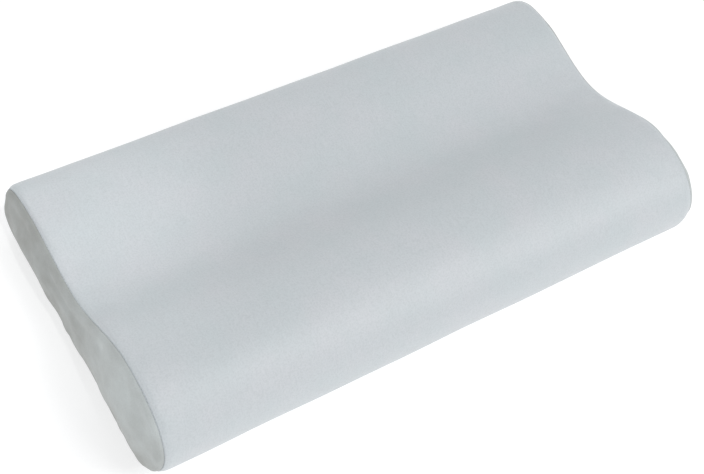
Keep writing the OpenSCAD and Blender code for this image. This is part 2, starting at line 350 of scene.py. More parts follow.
def plump(points):
    """Moves the ends outwards where the front lobe's corners are packed full."""
    y, z = points[:, 1], points[:, 2]
    away = (y - LOBE_CENTRE[0]) ** 2 + (z - LOBE_CENTRE[1]) ** 2
    near = np.exp(-away / LOBE_REACH ** 2)
    reach = np.clip((abs(points[:, 0]) - HALF_LENGTH + PLUMP_REACH) / PLUMP_REACH, 0, 1.2) ** 2
    amount = np.where(points[:, 0] > 0, PLUMP_RIGHT, PLUMP_LEFT)
    moved = points.copy()
    moved[:, 0] += np.sign(points[:, 0]) * amount * near * reach
    return moved


def settle(obj, held, pressure, growth, cap, frames=20):
    """Lets a cloth settle under pressure from inside, with the held points fixed.

    The filling behind it stops any point from moving inwards.
    """
    start = coordinates(obj)
    group = obj.vertex_groups.new(name="held")
    group.add([int(i) for i in held], 1.0, "REPLACE")
    cloth = obj.modifiers.new("cloth", "CLOTH")
    cloth.settings.quality = 6
    cloth.settings.mass = 0.15
    cloth.settings.tension_stiffness = 20
    cloth.settings.compression_stiffness = 20
    cloth.settings.shear_stiffness = 8
    cloth.settings.bending_stiffness = 0.4
    cloth.settings.use_pressure = True
    cloth.settings.uniform_pressure_force = pressure
    cloth.settings.shrink_min = -growth
    cloth.settings.vertex_group_mass = "held"
    cloth.settings.effector_weights.gravity = 0
    cloth.point_cache.frame_start = 1
    cloth.point_cache.frame_end = frames
    scene = bpy.context.scene
    for frame_number in range(1, frames + 1):
        scene.frame_set(frame_number)
    graph = bpy.context.evaluated_depsgraph_get()
    settled = np.zeros(len(start) * 3)
    obj.evaluated_get(graph).data.vertices.foreach_get("co", settled)
    move = settled.reshape(-1, 3) - start
    normals = vertex_normals(obj)
    rise = np.einsum("ij,ij->i", move, normals)
    move += normals * np.maximum(-rise, 0)[:, None]
    length = np.linalg.norm(move, axis=1)
    share = cap * np.tanh(length / cap) / np.maximum(length, 1e-9)
    obj.modifiers.clear()
    obj.vertex_groups.clear()
    set_coordinates(obj, start + move * share[:, None])
    scene.frame_set(1)


def on_the_floor(obj):
    """Nothing reaches below the surface that the pillow rests on."""
    points = coordinates(obj)
    points[:, 2] = np.maximum(points[:, 2], 0)
    set_coordinates(obj, points)


def finish_cloth(obj, thickness, subdivide=1):
    """Smooths a cloth, gives it its thickness inwards and makes it a plain mesh."""
    if subdivide:
        smooth = obj.modifiers.new("smooth", "SUBSURF")
        smooth.levels = smooth.render_levels = subdivide
        smooth.uv_smooth = "NONE"
    wall = obj.modifiers.new("wall", "SOLIDIFY")
    wall.thickness = thickness
    wall.offset = -1
    wall.use_even_offset = False
    return plain_mesh(obj)


def mirror_mesh(obj, name):
    """A copy of an object on the other side of the pillow's middle, facing outwards."""
    mesh = obj.data.copy()
    mesh.name = name
    mesh.transform(Matrix.Scale(-1, 4, (1, 0, 0)))
    mesh.flip_normals()
    return add_object(name, mesh)


# ---- node trees ----

def add_node(tree, kind, inputs=None, **settings):
    """Adds a node; an input is given a value, or a socket to be linked from."""
    node = tree.nodes.new(kind)
    for key, value in settings.items():
        setattr(node, key, value)
    for socket, value in (inputs or {}).items():
        if isinstance(value, bpy.types.NodeSocket):
            tree.links.new(value, node.inputs[socket])
        else:
            node.inputs[socket].default_value = value
    return node


def maths(tree, operation, a, b=0.0, c=0.0):
    """The result of a maths node on up to three values or sockets."""
    return add_node(tree, "ShaderNodeMath", {0: a, 1: b, 2: c}, operation=operation).outputs[0]


def new_tree(name, kind, inputs, outputs):
    """A node group with named sockets; inputs are (name, type, default)."""
    tree = bpy.data.node_groups.new(name, kind)
    for label, socket_type, value in inputs:
        socket = tree.interface.new_socket(label, in_out="INPUT", socket_type=socket_type)
        if value is not None:
            socket.default_value = value
    for label, socket_type in outputs:
        tree.interface.new_socket(label, in_out="OUTPUT", socket_type=socket_type)
    entry = tree.nodes.new("NodeGroupInput").outputs
    leave = tree.nodes.new("NodeGroupOutput").inputs
    return tree, entry, leave


def run_tree(obj, tree, values):
    """Runs a geometry tree on an object with its named inputs set, and keeps a plain mesh."""
    modifier = obj.modifiers.new(tree.name, "NODES")
    modifier.node_group = tree
    named = {item.name: item.identifier for item in tree.interface.items_tree
             if item.in_out == "INPUT"}
    for label, value in values.items():
        modifier[named[label]] = value
    return plain_mesh(obj)


FLOAT = "NodeSocketFloat"
GEOMETRY = "NodeSocketGeometry"
MATERIAL = "NodeSocketMaterial"
VECTOR = "NodeSocketVector"


def stitch_tree():
    """Thread stitches end to end along the edges of a line mesh."""
    tree, entry, leave = new_tree("stitch_row", "GeometryNodeTree", [
        ("Line", GEOMETRY, None), ("Pitch", FLOAT, 0.003), ("Stitch Length", FLOAT, 0.0024),
        ("Thread", FLOAT, 0.0005), ("Material", MATERIAL, None)], [("Stitches", GEOMETRY)])
    curve = add_node(tree, "GeometryNodeMeshToCurve", {"Mesh": entry["Line"]})
    spaced = add_node(tree, "GeometryNodeResampleCurve",
                      {"Curve": curve.outputs[0], "Length": entry["Pitch"]}, mode="LENGTH")
    half_length = maths(tree, "MULTIPLY", entry["Stitch Length"], 0.5)
    half_thread = maths(tree, "MULTIPLY", entry["Thread"], 0.5)
    size = add_node(tree, "ShaderNodeCombineXYZ",
                    {"X": half_length, "Y": half_thread, "Z": half_thread})
    bead = add_node(tree, "GeometryNodeMeshUVSphere", {"Segments": 8, "Rings": 6, "Radius": 1.0})
    turn = add_node(tree, "FunctionNodeAlignRotationToVector",
                    {"Vector": add_node(tree, "GeometryNodeInputTangent").outputs[0]}, axis="X")
    placed = add_node(tree, "GeometryNodeInstanceOnPoints", {
        "Points": spaced.outputs[0], "Instance": bead.outputs[0],
        "Rotation": turn.outputs[0], "Scale": size.outputs[0]})
    real = add_node(tree, "GeometryNodeRealizeInstances", {0: placed.outputs[0]})
    smooth = add_node(tree, "GeometryNodeSetShadeSmooth", {0: real.outputs[0]})
    painted = add_node(tree, "GeometryNodeSetMaterial",
                       {"Geometry": smooth.outputs[0], "Material": entry["Material"]})
    tree.links.new(painted.outputs[0], leave["Stitches"])
    return tree


def coil_tree():
    """One side of a nylon zip: a flattened helix along +X, starting at the origin."""
    tree, entry, leave = new_tree("zip_coil", "GeometryNodeTree", [
        ("Geometry", GEOMETRY, None), ("Turns", FLOAT, 10.0), ("Pitch", FLOAT, 0.0015),
        ("Width", FLOAT, 0.0018), ("Height", FLOAT, 0.0016), ("Wire", FLOAT, 0.0006),
        ("Material", MATERIAL, None)], [("Coil", GEOMETRY)])
    helix = add_node(tree, "GeometryNodeCurveSpiral", {
        "Resolution": 12, "Rotations": entry["Turns"], "Start Radius": 0.5, "End Radius": 0.5,
        "Height": maths(tree, "MULTIPLY", entry["Turns"], entry["Pitch"])})
    flattened = add_node(tree, "ShaderNodeCombineXYZ", {
        "X": maths(tree, "SUBTRACT", entry["Height"], entry["Wire"]),
        "Y": maths(tree, "SUBTRACT", entry["Width"], entry["Wire"]), "Z": 1.0})
    laid = add_node(tree, "GeometryNodeTransform", {
        "Geometry": helix.outputs[0], "Scale": flattened.outputs[0],
        "Rotation": (math.pi / 2, 0, math.pi / 2)})
    wire = add_node(tree, "GeometryNodeCurvePrimitiveCircle", {
        "Resolution": 5, "Radius": maths(tree, "MULTIPLY", entry["Wire"], 0.5)})
    tube = add_node(tree, "GeometryNodeCurveToMesh", {
        "Curve": laid.outputs[0], "Profile Curve": wire.outputs[0], "Fill Caps": True})
    real = add_node(tree, "GeometryNodeRealizeInstances", {0: tube.outputs[0]})
    painted = add_node(tree, "GeometryNodeSetMaterial",
                       {"Geometry": real.outputs[0], "Material": entry["Material"]})
    tree.links.new(painted.outputs[0], leave["Coil"])
    return tree


# ---- materials ----

def linear(red, green, blue):
    """A colour as a shader takes it, from its display values."""
    return tuple(c / 12.92 if c <= 0.04045 else ((c + 0.055) / 1.055) ** 2.4
                 for c in (red, green, blue)) + (1.0,)


def knit_group():
    """Fine jersey: columns of V-shaped loops that run round the pillow, and uneven yarn."""
    tree, entry, leave = new_tree("knit", "ShaderNodeTree", [
        ("Cloth", VECTOR, None), ("Wale", FLOAT, 0.0009), ("Course", FLOAT, 0.0007)],
        [("Height", FLOAT), ("Yarn", FLOAT)])
    place = add_node(tree, "ShaderNodeSeparateXYZ", {0: entry["Cloth"]})
    course = maths(tree, "DIVIDE", place.outputs["X"], entry["Course"])
    wale = maths(tree, "DIVIDE", place.outputs["Y"], entry["Wale"])
    zigzag = maths(tree, "PINGPONG", course, 0.5)
    loop = maths(tree, "SINE", maths(tree, "MULTIPLY", maths(tree, "ADD", wale, zigzag), math.pi))
    tree.links.new(maths(tree, "ABSOLUTE", loop), leave["Height"])
    stretched = add_node(tree, "ShaderNodeVectorMath",
                         {0: entry["Cloth"], 1: (55.0, 950.0, 1.0)}, operation="MULTIPLY")
    yarn = add_node(tree, "ShaderNodeTexNoise",
                    {"Vector": stretched.outputs[0], "Scale": 1.0, "Detail": 2.0})
    tree.links.new(yarn.outputs[0], leave["Yarn"])
    return tree


def mottle_group():
    """A slow cloudiness and a fine fleck, each from 0 to 1."""
    tree, entry, leave = new_tree("mottle", "ShaderNodeTree", [
        ("Place", VECTOR, None), ("Cloud Size", FLOAT, 0.05), ("Fleck Size", FLOAT, 0.0012)],
        [("Cloud", FLOAT), ("Fleck", FLOAT)])
    for label, size, detail in (("Cloud", "Cloud Size", 3.0), ("Fleck", "Fleck Size", 4.0)):
        noise = add_node(tree, "ShaderNodeTexNoise", {
            "Vector": entry["Place"], "Scale": maths(tree, "DIVIDE", 1.0, entry[size]),
            "Detail": detail, "Roughness": 0.6})
        tree.links.new(noise.outputs[0], leave[label])
    return tree


def weave_group():
    """Plain weave on cloth coordinates: threads over and under in a checkerboard."""
    tree, entry, leave = new_tree("weave", "ShaderNodeTree", [
        ("Cloth", VECTOR, None), ("Thread", FLOAT, 0.0005)],
        [("Height", FLOAT), ("Over", FLOAT)])
    place = add_node(tree, "ShaderNodeSeparateXYZ", {0: entry["Cloth"]})
    waves = []
    for axis in ("X", "Y"):
        turn = maths(tree, "DIVIDE", place.outputs[axis], entry["Thread"])
        waves.append(maths(tree, "SINE", maths(tree, "MULTIPLY", turn, math.pi)))
    over = maths(tree, "MULTIPLY", waves[0], waves[1])
    tree.links.new(maths(tree, "ABSOLUTE", over), leave["Height"])
    tree.links.new(maths(tree, "MULTIPLY_ADD", over, 0.5, 0.5), leave["Over"])
    return tree


def new_material(name, roughness, **constants):
    """A material with a Principled shader whose plain values are set on its own sockets."""
    material = bpy.data.materials.new(name)
    material.use_nodes = True
    tree = material.node_tree
    tree.nodes.clear()
    shader = add_node(tree, "ShaderNodeBsdfPrincipled", {"Roughness": roughness})
    for socket, value in constants.items():
        shader.inputs[socket.replace("_", " ")].default_value = value
    output = add_node(tree, "ShaderNodeOutputMaterial")
    tree.links.new(shader.outputs[0], output.inputs["Surface"])
    return material, tree, shader


def use_group(tree, group, inputs):
    return add_node(tree, "ShaderNodeGroup", inputs, node_tree=group).outputs


def mixed(tree, share, first, second):
    """A colour between two colours: sockets 6 and 7 of the node, and its output 2."""
    return add_node(tree, "ShaderNodeMix", {0: share, 6: first, 7: second},
                    data_type="RGBA").outputs[2]


def spread(tree, value, low, high):
    """Stretches the part of a value from low to high to 0 to 1; low may be the larger."""
    return add_node(tree, "ShaderNodeMapRange",
                    {"Value": value, "From Min": low, "From Max": high}).outputs[0]


def raised(tree, shader, height, distance, strength):
    """Bumps a shader's surface by a height, a plain number, times a distance."""
    bump = add_node(tree, "ShaderNodeBump",
                    {"Height": height, "Distance": distance, "Strength": strength})
    tree.links.new(bump.outputs[0], shader.inputs["Normal"])


def cloth_coordinates(tree):
    return add_node(tree, "ShaderNodeUVMap", uv_map="cloth").outputs[0]


def object_coordinates(tree):
    return add_node(tree, "ShaderNodeTexCoord").outputs["Object"]


KNIT = knit_group()
MOTTLE = mottle_group()
WEAVE = weave_group()


def knit_material(name, cool, warm, roughness, sheen, shine, wale):
    """Smooth knit with clouds of two tints, fine flecks, a few slubs and a faint pale streak."""
    material, tree, shader = new_material(name, roughness, Sheen_Weight=sheen,
                                          Sheen_Roughness=0.45, Specular_IOR_Level=shine)
    cloth = cloth_coordinates(tree)
    knit = use_group(tree, KNIT, {"Cloth": cloth, "Wale": wale, "Course": wale * 0.8})
    mottle = use_group(tree, MOTTLE, {"Place": object_coordinates(tree),
                                      "Cloud Size": 0.06, "Fleck Size": 0.0016})
    tint = mixed(tree, spread(tree, mottle["Cloud"], 0.35, 0.65), linear(*cool), linear(*warm))
    fleck = maths(tree, "MULTIPLY", spread(tree, mottle["Fleck"], 0.42, 0.68), 0.45)
    flecked = mixed(tree, fleck, tint, linear(*(c * 0.90 for c in cool)))
    slubs = use_group(tree, MOTTLE, {"Place": cloth, "Cloud Size": 0.02, "Fleck Size": 0.0011})
    slub = maths(tree, "MULTIPLY", spread(tree, slubs["Fleck"], 0.70, 0.80), 0.35)
    flecked = mixed(tree, slub, flecked, linear(*(c * 0.72 for c in warm)))
    streak = maths(tree, "MULTIPLY", spread(tree, knit["Yarn"], 0.45, 0.75), 0.05)
    tree.links.new(mixed(tree, streak, flecked, (1.0, 1.0, 1.0, 1.0)), shader.inputs["Base Color"])
    loops = maths(tree, "MULTIPLY_ADD", knit["Yarn"], 0.8, knit["Height"])
    raised(tree, shader, loops, 0.12 * MM, 0.5)
    return material


def velour_material(name, dark, light):
    """Short nap that lies different ways in soft patches, with painted light that makes it lighter
    high at the front.
    """
    material, tree, shader = new_material(name, 0.85, Sheen_Weight=0.25, Sheen_Roughness=0.5,
                                          Specular_IOR_Level=0.2)
    place = object_coordinates(tree)
    patches = use_group(tree, MOTTLE, {"Place": place, "Cloud Size": 0.035, "Fleck Size": 0.0012})
    _, depth, height = add_node(tree, "ShaderNodeSeparateXYZ", {0: place}).outputs
    # Painted light: the colour is made lighter towards the front and towards the top of the panel,
    # where light falls on it.
    forward = spread(tree, depth, 0.10, -0.09)
    upper = spread(tree, height, 0.012, 0.085)
    lit = maths(tree, "MULTIPLY", maths(tree, "MULTIPLY", forward, upper), 0.7)
    # This share mixes the nap's random patches with that painted light.
    nap_patches_and_painted_light = maths(tree, "MULTIPLY_ADD", spread(tree, patches["Cloud"], 0.36, 0.66), 0.3, lit)
    nap_and_painted_light_colour = mixed(tree, nap_patches_and_painted_light, linear(*dark), linear(*light))
    grain = maths(tree, "MULTIPLY", spread(tree, patches["Fleck"], 0.35, 0.75), 0.16)
    tree.links.new(mixed(tree, grain, nap_and_painted_light_colour, linear(*(c * 0.75 for c in dark))),
                   shader.inputs["Base Color"])
    raised(tree, shader, patches["Fleck"], 0.4 * MM, 0.6)
    return material


def woven_material(name, colour, thread, roughness, sheen):
    """Plain weave with painted shade: its lower threads are a little darker."""
    material, tree, shader = new_material(name, roughness, Sheen_Weight=sheen,
                                          Specular_IOR_Level=0.3)
    weave = use_group(tree, WEAVE, {"Cloth": cloth_coordinates(tree), "Thread": thread})
    # Painted shade: the threads that lie lower in the weave get a darker colour.
    darker = tuple(c * 0.86 for c in colour)
    tree.links.new(mixed(tree, weave["Over"], linear(*darker), linear(*colour)),
                   shader.inputs["Base Color"])
    raised(tree, shader, weave["Height"], thread * 0.3, 0.8)
    return material


def foam_material():
    """Open-cell foam: small pores between smooth walls, with painted shade in the pores, slightly
    yellowed in places.
    """
    material, tree, shader = new_material("foam_cells", 0.9, Specular_IOR_Level=0.2,
                                          Sheen_Weight=0.1)
    place = object_coordinates(tree)
    cells = add_node(tree, "ShaderNodeTexVoronoi", {"Vector": place, "Scale": 900.0})
    mottle = use_group(tree, MOTTLE, {"Place": place, "Cloud Size": 0.08, "Fleck Size": 0.003})
    tint = mixed(tree, spread(tree, mottle["Cloud"], 0.35, 0.7),
                 linear(0.94, 0.92, 0.86), linear(0.92, 0.88, 0.77))
    # Painted shade: the colour darkens towards each cell's middle, where the pore is sunk.
    pores = spread(tree, cells.outputs["Distance"], 0.05, 0.45)
    tree.links.new(mixed(tree, pores, linear(0.74, 0.70, 0.60), tint), shader.inputs["Base Color"])
    raised(tree, shader, cells.outputs["Distance"], 0.5 * MM, 0.7)
    return material


def thread_material():
    """Spun thread: a fine twist along the stitch."""
    material, tree, shader = new_material("sewing_thread", 0.6, Sheen_Weight=0.2,
                                          Specular_IOR_Level=0.3)
    twist = add_node(tree, "ShaderNodeTexWave", {"Vector": object_coordinates(tree),
                     "Scale": 2400.0, "Distortion": 1.5}, bands_direction="DIAGONAL")
    tree.links.new(mixed(tree, twist.outputs[1], linear(0.74, 0.77, 0.79), linear(0.86, 0.88, 0.89)),
                   shader.inputs["Base Color"])
    raised(tree, shader, twist.outputs[1], 0.05 * MM, 0.6)
    return material


def hard_material(name, colour, rough_low, rough_high, metallic, scuff, **constants):
    """Enamel, metal or nylon: an uneven gloss and light scuffs."""
    material, tree, shader = new_material(name, rough_low, Metallic=metallic, **constants)
    place = object_coordinates(tree)
    mottle = use_group(tree, MOTTLE, {"Place": place, "Cloud Size": 0.004, "Fleck Size": 0.0004})
    tree.links.new(add_node(tree, "ShaderNodeMapRange", {
        "Value": mottle["Cloud"], "From Min": 0.3, "From Max": 0.7, "To Min": rough_low,
        "To Max": rough_high}).outputs[0], shader.inputs["Roughness"])
    share = maths(tree, "MULTIPLY", spread(tree, mottle["Fleck"], 0.6, 0.75), scuff)
    tree.links.new(mixed(tree, share, linear(*colour), linear(*(c * 0.7 for c in colour))),
                   shader.inputs["Base Color"])
    raised(tree, shader, mottle["Fleck"], 0.02 * MM, 0.3)
    return material


COVER_KNIT = knit_material("cover_knit", (0.772, 0.800, 0.812), (0.790, 0.805, 0.820),
                           0.42, 0.12, 0.8, 0.9 * MM)
LINER_KNIT = knit_material("liner_knit", (0.90, 0.90, 0.89), (0.92, 0.92, 0.90),
                           0.85, 0.1, 0.3, 1.4 * MM)
# The lighter colour also holds the painted light high at the front of each end panel.
END_VELOUR = velour_material("end_velour", (0.605, 0.61, 0.597), (0.785, 0.81, 0.81))
ZIP_WEAVE = woven_material("zip_tape_weave", (0.76, 0.79, 0.81), 0.55 * MM, 0.7, 0.1)
LABEL_SATIN = woven_material("label_satin", (0.95, 0.95, 0.94), 0.25 * MM, 0.4, 0.3)
FOAM = foam_material()
THREAD = thread_material()
NYLON = hard_material("zip_nylon", (0.74, 0.77, 0.79), 0.30, 0.45, 0.0, 0.2)
STOP_METAL = hard_material("stop_metal", (0.74, 0.75, 0.76), 0.25, 0.45, 1.0, 0.4)
SLIDER_ENAMEL = hard_material("slider_enamel", (0.74, 0.76, 0.78), 0.22, 0.38, 0.0, 0.3,
                              Coat_Weight=0.4)


def dress(obj, material, body="root", replaces=()):
    """Gives a piece its material and its body, and hides the parts of the frame that it stands for.
    """
    obj.data.materials.clear()
    obj.data.materials.append(material)
    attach(obj, body)
    if replaces:
        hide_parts(*replaces)
    return obj


# ---- shapes for the small hard pieces ----

def line_mesh(name, points, closed):
    """A mesh of edges only, for a geometry tree to follow."""
    count = len(points)
    edges = [(i, (i + 1) % count) for i in range(count if closed else count - 1)]
    mesh = bpy.data.meshes.new(name)
    mesh.from_pydata([list(p) for p in points], edges, [])
    return add_object(name, mesh)


def add_plate(build, outline, low, high, place, hole=None):
    """Adds a plate between two heights to a bmesh; place(u, v, h) gives the point in space."""
    rings = []
    for h in (low, high):
        rings.append([build.verts.new(place(u, v, h)) for u, v in outline])
    count = len(outline)
    for j in range(count):
        k = (j + 1) % count
        build.faces.new((rings[0][j], rings[0][k], rings[1][k], rings[1][j]))
    if hole is None:
        build.faces.new(list(reversed(rings[0])))
        build.faces.new(rings[1])
        return
    inner = []
    for h in (low, high):
        inner.append([build.verts.new(place(u, v, h)) for u, v in hole])
    for j in range(count):
        k = (j + 1) % count
        build.faces.new((inner[0][k], inner[0][j], inner[1][j], inner[1][k]))
        build.faces.new((rings[0][k], rings[0][j], inner[0][j], inner[0][k]))
        build.faces.new((rings[1][j], rings[1][k], inner[1][k], inner[1][j]))


def rounded_box(half_u, half_v, radius, count=6):
    """The outline of a rectangle with round corners, anticlockwise from its right side."""
    outline = []
    for corner, (su, sv) in enumerate([(1, 1), (-1, 1), (-1, -1), (1, -1)]):
        for t in np.radians(np.linspace(0, 90, count) + 90 * corner):
            outline.append((su * (half_u - radius) + radius * math.cos(t),
                            sv * (half_v - radius) + radius * math.sin(t)))
    return outline


def circle(centre, radius, count):
    turns = np.arange(count) * 2 * math.pi / count
    return [(centre[0] + radius * math.cos(t), centre[1] + radius * math.sin(t)) for t in turns]


def finish_hard(name, build, bevel, segments=3):
    """Makes an object of a bmesh, with its faces outwards and its edges rounded."""
    bmesh.ops.recalc_face_normals(build, faces=build.faces)
    mesh = bpy.data.meshes.new(name)
    build.to_mesh(mesh)
    build.free()
    made = add_object(name, mesh)
    rounding = made.modifiers.new("edges", "BEVEL")
    rounding.width = bevel
    rounding.segments = segments
    rounding.limit_method = "ANGLE"
    rounding.harden_normals = True
    plain_mesh(made)
    shade_smooth(made.data)
    return made


# ---- the foam and the liner ----

def mirrored(rings):
    """The rings of the right end as the left end has them, from the face's middle outwards."""
    return [ring * np.array([-1, 1, 1]) for ring in reversed(rings)]


def make_foam():
    """The moulded block, closed at both ends."""
    line = pressed_contour()
    right = end_rings(line, 0, FOAM_DEPTH)
    straight = [ring_at(line, x, FOAM_DEPTH, True)
                for x in np.linspace(-STRAIGHT_HALF, STRAIGHT_HALF, 41)[1:-1]]
    rings = mirrored(right) + straight + right
    foam = mesh_from_rings("foam_block", rings, True, closed_end=True, closed_start=True)
    smooth = foam.modifiers.new("smooth", "SUBSURF")
    smooth.levels = smooth.render_levels = 1
    plain_mesh(foam)
    dress(foam, FOAM, replaces=["foam_core"])


def make_liner():
    """A tube and two end panels, sewn round the foam."""
    line = pressed_contour()
    half_gap = 0.7 * MM / END_RADIUS
    places = sleeve_places(SEAM_ANGLE - half_gap, LINER_DEPTH)
    rings = [ring_at(line, x, d, True) for x, d in places]
    wrap = mesh_from_rings("liner_tube", rings, True)
    finish_cloth(wrap, LINER, 0)
    dress(wrap, LINER_KNIT, replaces=["liner_wrap"])
    rings = end_rings(line, SEAM_ANGLE + half_gap, LINER_DEPTH)
    right = mesh_from_rings("liner_end_right", rings, True, closed_end=True)
    finish_cloth(right, LINER, 0)
    left = mirror_mesh(right, "liner_end_left")
    for panel, node in ((right, "liner_right_end"), (left, "liner_left_end")):
        dress(panel, LINER_KNIT, replaces=[node])


# ---- the cover ----

def slit_contour():
    """The open contour with the cover's folded edges at the zip."""
    line = at_distances(OUTLINE, np.linspace(SLIT_HALF + SLIT_LIP, GIRTH - SLIT_HALF - SLIT_LIP,
                                             ROUND))
    fold = []
    for phi in np.radians([30, 60, 90]):
        fold.append((HALF_DEPTH - SLIT_LIP * (1 - math.cos(phi)), SLIT_LIP * math.sin(phi)))
    fold.append((HALF_DEPTH - SLIT_TUCK, SLIT_LIP))
    first = [(y, ZIP_Z + SLIT_HALF + SLIT_LIP - reach) for y, reach in reversed(fold)]
    last = [(y, ZIP_Z - SLIT_HALF - SLIT_LIP + reach) for y, reach in fold]
    return line, np.array(first), np.array(last)


def make_cover_wrap():
    """The sleeve, with its edges turned in at the end seams and at the zip."""
    line, first, last = slit_contour()
    angle = SEAM_ANGLE - (LIP + SEAM_GAP) / END_RADIUS
    lips = lip_places(angle, LIP, 1, TUCK)
    places = sleeve_places(angle, 0)
    places = [(-x, d) for x, d in reversed(lips)] + places + lips
    rings = []
    for x, depth in places:
        middle = ring_at(line, x, depth, False)
        inwards = np.array([0, -depth, 0])
        before = np.column_stack([np.full(len(first), x), first]) + inwards
        after = np.column_stack([np.full(len(last), x), last]) + inwards
        rings.append(np.concatenate([before, middle, after]))
    wrap = mesh_from_rings("cover_sleeve", rings, False)
    count, turns = len(rings[0]), len(rings)
    fold, lip = len(first), len(lips)
    start = coordinates(wrap)
    held = [i * count + j for i in range(turns) for j in range(count)
            if i <= lip or i >= turns - 1 - lip or j <= fold + 1 or j >= count - 2 - fold]
    settle(wrap, held, pressure=1.5, growth=0.004, cap=1.6 * MM)
    points = coordinates(wrap)
    free = np.ones(len(points))
    free[held] = 0
    slow = swell(points * np.array([1, 1.6, 1.6]), 0.11, 5)
    points += vertex_normals(wrap) * (slow * free * 0.35 * MM)[:, None]
    flattened = np.maximum(np.minimum(start[:, 2], points[:, 2]), 0)
    points[:, 2] = np.where(start[:, 2] < BASE_HEIGHT, flattened, points[:, 2])
    set_coordinates(wrap, plump(points))
    on_the_floor(wrap)
    finish_cloth(wrap, CLOTH, 1)
    on_the_floor(wrap)
    dress(wrap, COVER_KNIT, replaces=["cover_wrap"])


def make_cover_end(name, node, seed, side):
    """An end panel, bulged and dimpled; side is 1 at the right end and -1 at the left."""
    line = closed_contour()
    angle = SEAM_ANGLE + (LIP + SEAM_GAP) / END_RADIUS
    lips = lip_places(angle, LIP, -1, TUCK)
    rings = [ring_at(line, x, d, True) for x, d in reversed(lips)] + end_rings(line, angle, 0)
    panel = mesh_from_rings(name, rings, True, closed_end=True)
    held = list(range((len(lips) + 1) * ROUND))
    start = coordinates(panel)
    settle(panel, held, pressure=4.0, growth=0.02, cap=5.5 * MM)
    points = coordinates(panel)
    free = np.ones(len(points))
    free[held] = 0
    ring = np.arange(len(points)) // ROUND
    free *= np.clip((ring - len(lips)) / 4, 0, 1)
    dimple = swell(points * np.array([1, 1, 1.4]), 0.05, seed)
    small = swell(points * np.array([1, 1, 1.2]), 0.022, seed + 1)
    points += vertex_normals(panel) * ((dimple * 0.45 + small * 0.22) * free * MM)[:, None]
    lifted = np.maximum(points[:, 2], 0)
    points[:, 2] = np.where(start[:, 2] < BASE_HEIGHT, lifted, points[:, 2])
    set_coordinates(panel, points)
    if side < 0:
        right = panel
        panel = mirror_mesh(right, name + "_made")
        bpy.data.objects.remove(right)
        panel.name = name
    set_coordinates(panel, plump(coordinates(panel)))
    finish_cloth(panel, CLOTH, 1)
    on_the_floor(panel)
    dress(panel, END_VELOUR, replaces=[node])


make_foam()
make_liner()
make_cover_wrap()
make_cover_end("cover_panel_right", "cover_right_end", 21, 1)
make_cover_end("cover_panel_left", "cover_left_end", 34, -1)


# ---- the seams' thread ----

STITCHES = stitch_tree()
STITCH_PITCH = 3.0 * MM
SEAM_SINK = 0.45 * MM           # how deep the thread lies between an end seam's turned edges


def make_seam_thread(name, node, side):
    """Stitches that meet end to end along an end seam."""
    x, depth = edge_place(SEAM_ANGLE, SEAM_SINK)
    ring = plump(ring_at(closed_contour(400), side * x, depth, True))
    thread = run_tree(line_mesh(name, ring, True), STITCHES, {
        "Pitch": STITCH_PITCH, "Stitch Length": 3.4 * MM, "Thread": 0.5 * MM, "Material": THREAD})
    dress(thread, THREAD, replaces=[node])


make_seam_thread("seam_stitches_left", "left_seam_thread", -1)
make_seam_thread("seam_stitches_right", "right_seam_thread", 1)


# ---- the zip ----

def make_tape(name, node, side):
    """A woven tape behind one folded edge, from the coil to its outer edge."""
    span = np.linspace(TAPE_INNER, TAPE_REACH, 8)
    distances = span if side > 0 else GIRTH - span[::-1]
    line = at_distances(OUTLINE, distances)
    angle = SEAM_ANGLE - 1.0 * MM / END_RADIUS
    places = sleeve_places(angle, HALF_DEPTH - TAPE_FACE_Y)
    rings = [ring_at(line, x, d, False) for x, d in places]
    tape = mesh_from_rings(name, rings, False)
    finish_cloth(tape, TAPE, 0)
    dress(tape, ZIP_WEAVE, replaces=[node])


COILS = coil_tree()
COIL_PITCH = 1.55 * MM
COIL_REACH = 0.22 * MM          # how near a coil's turns come to the zip's centre line
COIL_START = 0.5 * MM           # from a coil's end to its first turn


def make_coil(name, node, side):
    """One coil; the lower one is the upper one mirrored and moved along by half a turn."""
    width = COIL_NEAR + COIL_WIDTH - COIL_REACH
    turns = 2 * COIL_HALF_LENGTH / COIL_PITCH - 1.5
    seed_mesh = line_mesh(name, [(0, 0, 0)], False)
    coil = run_tree(seed_mesh, COILS, {
        "Turns": turns, "Pitch": COIL_PITCH, "Width": width, "Height": COIL_HEIGHT,
        "Wire": 0.78 * MM, "Material": NYLON})
    if side < 0:
        coil.data.transform(Matrix.Scale(-1, 4, (0, 0, 1)))
        coil.data.flip_normals()
    shift = COIL_START + (0 if side > 0 else COIL_PITCH / 2)
    coil.data.transform(Matrix.Translation((
        shift - COIL_HALF_LENGTH, TAPE_FACE_Y + COIL_HEIGHT / 2,
        ZIP_Z + side * (COIL_REACH + width / 2))))
    shade_smooth(coil.data)
    dress(coil, NYLON, replaces=[node])


def make_stop(name, node):
    """A clip pinched over the end of a coil, with a groove across its middle."""
    low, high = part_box(node)
    centre = (low + high) / 2
    half = (high - low) / 2
    build = bmesh.new()

    def place(u, v, h):
        return (centre.x + u, h, centre.z + v)

    outline = rounded_box(half.x, half.z, min(half.x, half.z) * 0.45)
    groove_y = high.y - 0.3 * MM
    overlap = 0.2 * MM
    add_plate(build, outline, low.y, groove_y, place)
    for sign in (-1, 1):
        ridge = [(u * 0.36 + sign * half.x * 0.55, v * 0.86) for u, v in outline]
        add_plate(build, ridge, groove_y - overlap, high.y, place)
    stop = finish_hard(name, build, 0.12 * MM)
    dress(stop, STOP_METAL, replaces=[node])


